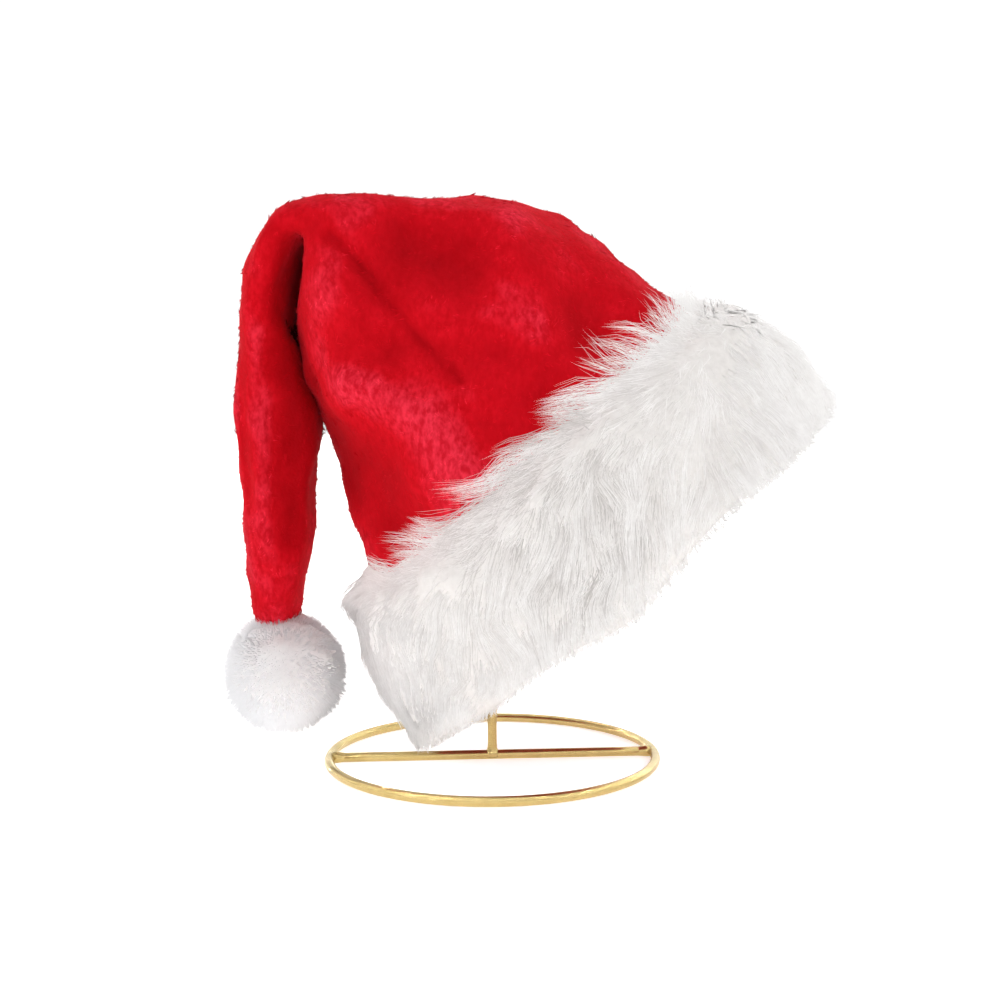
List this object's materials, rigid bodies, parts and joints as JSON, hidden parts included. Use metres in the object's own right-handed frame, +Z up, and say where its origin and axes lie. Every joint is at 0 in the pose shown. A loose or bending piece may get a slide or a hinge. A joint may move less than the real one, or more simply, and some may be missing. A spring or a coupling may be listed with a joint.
{
  "type": "santa hat on a wire stand",
  "caption": "Plush Santa hat with a long-pile fur band, a folded-over tail and a pompom, held up on a gold wire display stand with a round base and an upright post.",
  "frame": {"origin": "middle of the stand's base, on the surface that it stands on", "axes": "+Z up along the post; -Y to the hat's front; -X to the side that the tail folds over to"},
  "size_m": [0.2859, 0.1975, 0.264],
  "materials": {
    "plush": "red short-pile plush",
    "fur": "white long-pile faux fur",
    "pompom": "white soft pile",
    "gold_wire": "polished gold plating"
  },
  "bodies": {
    "root": {"crown": "plush", "fur_band": "fur", "pompom": "pompom", "stand": "gold_wire"}
  },
  "joints": []
}
